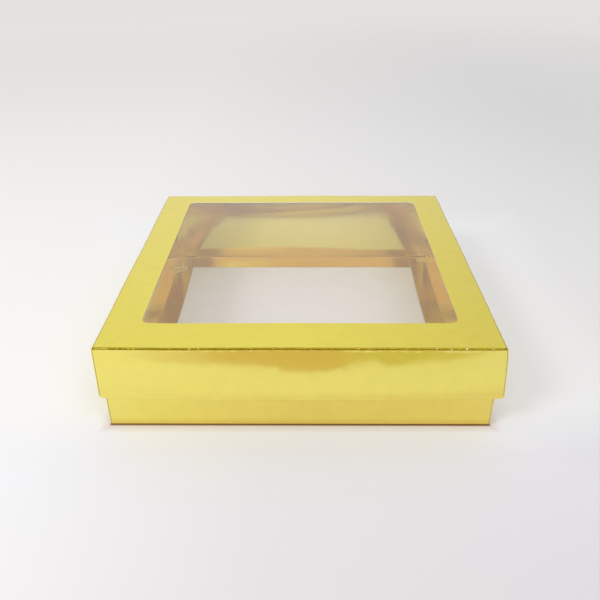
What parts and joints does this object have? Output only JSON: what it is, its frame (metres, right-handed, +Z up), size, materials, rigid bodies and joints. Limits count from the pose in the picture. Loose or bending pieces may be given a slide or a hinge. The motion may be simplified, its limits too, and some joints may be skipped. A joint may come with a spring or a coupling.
{
  "type": "window gift box",
  "caption": "Square gift box folded from metallic foil board: a lid with a large clear film window lifts off a shallow double-walled tray.",
  "frame": {"origin": "middle of the tray's underside, on the surface that the box stands on", "axes": "+Z up, out of the window; -Y towards the front; +X to the right"},
  "size_m": [0.2533, 0.2554, 0.062],
  "materials": {
    "foil_board": "gloss",
    "tray_lining": "matte",
    "board_reverse": "matte",
    "window_film": "gloss",
    "glue": "satin"
  },
  "bodies": {
    "tray": {"tray_floor": "tray_lining", "tray_front_wall": "foil_board", "tray_back_wall": "foil_board", "tray_left_wall": "foil_board", "tray_right_wall": "foil_board", "tray_front_left_corner_tab": "board_reverse", "tray_front_right_corner_tab": "board_reverse", "tray_back_left_corner_tab": "board_reverse", "tray_back_right_corner_tab": "board_reverse"},
    "lid": {"lid_top_frame": "foil_board", "lid_front_wall": "foil_board", "lid_back_wall": "foil_board", "lid_left_wall": "foil_board", "lid_right_wall": "foil_board", "lid_front_left_corner_tab": "board_reverse", "lid_front_right_corner_tab": "board_reverse", "lid_back_left_corner_tab": "board_reverse", "lid_back_right_corner_tab": "board_reverse", "window_film": "window_film", "window_glue_line": "glue"}
  },
  "joints": [
    {"name": "lid_lift", "type": "slide", "parent": "tray", "child": "lid", "axis": [0, 0, 1], "range_m": [0, 0.08]}
  ]
}
